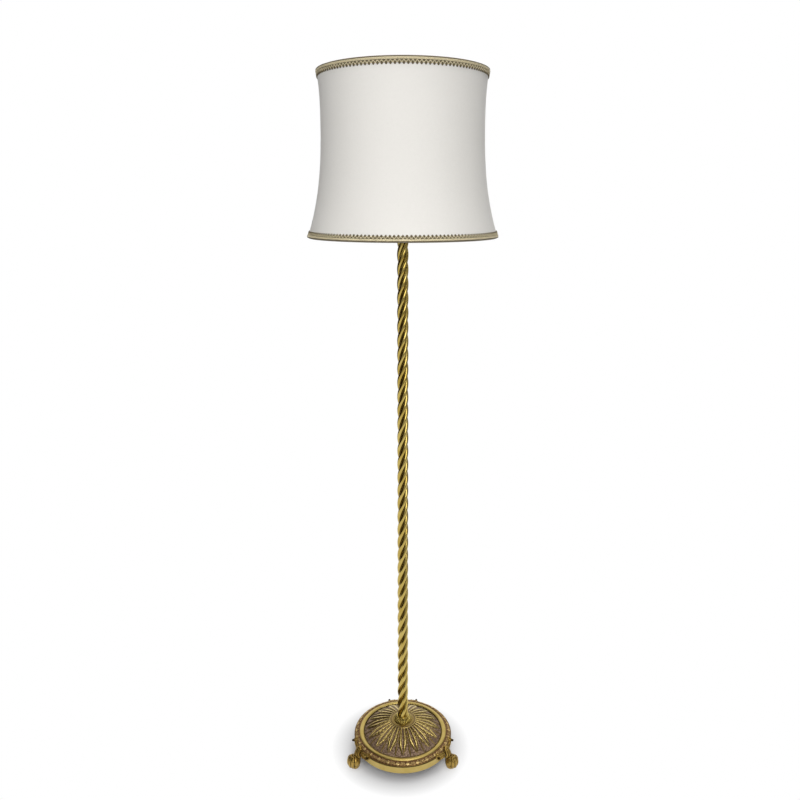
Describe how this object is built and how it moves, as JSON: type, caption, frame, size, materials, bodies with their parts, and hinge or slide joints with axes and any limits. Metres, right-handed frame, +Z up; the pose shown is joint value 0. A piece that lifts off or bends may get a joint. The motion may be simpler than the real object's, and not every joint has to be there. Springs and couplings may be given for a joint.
{
  "type": "floor lamp",
  "caption": "Floor lamp with a rope-twist brass column on a round leaf-cast base with lion-paw feet, and a waisted fabric drum shade edged with braid.",
  "frame": {"origin": "on the floor under the centre of the column, at the middle of the three feet", "axes": "+Z up along the column; the front of the lamp faces -Y, with two feet at the front left and right and the third behind at +Y; +X to the right, where the switch knob is"},
  "size_m": [0.4553, 0.4554, 1.757],
  "materials": {
    "polished_brass": "polished and lacquered, warm gold",
    "patina_brass": "cast, brown patina left in the hollows and rubbed bright on the high points",
    "steel": "zinc plated",
    "plate_steel": "black stoved paint",
    "cast_iron": "as cast, blackened",
    "shade_cloth": "close-woven off-white cloth, stretched smooth",
    "lining_cloth": "thin white lining",
    "braid": "woven gimp braid with a metallic yarn",
    "white_enamel": "white stoved enamel on wire",
    "ceramic": "glazed ceramic",
    "block_plastic": "moulded nylon",
    "frosted_glass": "frosted inside",
    "bulb_metal": "bright rolled sheet",
    "black_glass": "black vitreous insulator",
    "wire_sleeve": "sleeved wires"
  },
  "bodies": {
    "stand": {"base_rim": "polished_brass", "base_dome": "patina_brass", "stem_collar": "patina_brass", "beaded_seat": "polished_brass", "foot_left": "polished_brass", "foot_right": "polished_brass", "foot_back": "polished_brass", "foot_screws": "steel", "ballast": "cast_iron", "cover_plate": "plate_steel", "cover_screws": "steel", "pipe_washer": "steel", "pipe_nut": "steel", "cord_gland": "polished_brass", "gland_nut": "polished_brass", "terminal_block": "block_plastic", "terminal_screws": "steel", "earth_screw": "polished_brass", "inner_lead": "wire_sleeve", "lamp_pipe": "steel", "stem_bush_lower": "polished_brass", "rope_stem": "polished_brass", "stem_bush_upper": "polished_brass", "neck_cap": "polished_brass", "holder_skirt": "polished_brass", "pipe_locknut": "steel", "holder_insert": "ceramic", "insert_screws": "polished_brass", "holder_body": "polished_brass", "screw_shell": "polished_brass", "centre_contact": "polished_brass", "switch_barrel": "polished_brass", "shade_nut_lower": "polished_brass"},
    "shade": {"shade_fitter": "white_enamel", "shade_ring_bottom": "white_enamel", "shade_ring_top": "white_enamel", "shade_struts": "white_enamel", "shade_cover": "shade_cloth", "shade_lining": "lining_cloth", "braid_bottom": "braid", "braid_top": "braid"},
    "upper_shade_ring": {"shade_nut_upper": "polished_brass"},
    "bulb": {"bulb_cap": "bulb_metal", "bulb_insulator": "black_glass", "bulb_tip": "bulb_metal", "bulb_globe": "frosted_glass"},
    "switch": {"switch_spindle": "steel", "switch_knob": "polished_brass"}
  },
  "joints": [
    {"name": "shade_turn", "type": "hinge", "parent": "stand", "child": "shade", "pos_m": [0, 0, 1.4681], "axis": [0, 0, 1], "continuous": true},
    {"name": "shade_ring_turn", "type": "hinge", "parent": "stand", "child": "upper_shade_ring", "pos_m": [0, 0, 1.472], "axis": [0, 0, 1], "range_deg": [0, 1800]},
    {"name": "bulb_turn", "type": "hinge", "parent": "stand", "child": "bulb", "pos_m": [0, 0, 1.47], "axis": [0, 0, 1], "range_deg": [0, 1260]},
    {"name": "switch_turn", "type": "hinge", "parent": "stand", "child": "switch", "pos_m": [0.02, 0, 1.4358], "axis": [1, 0, 0], "continuous": true}
  ]
}
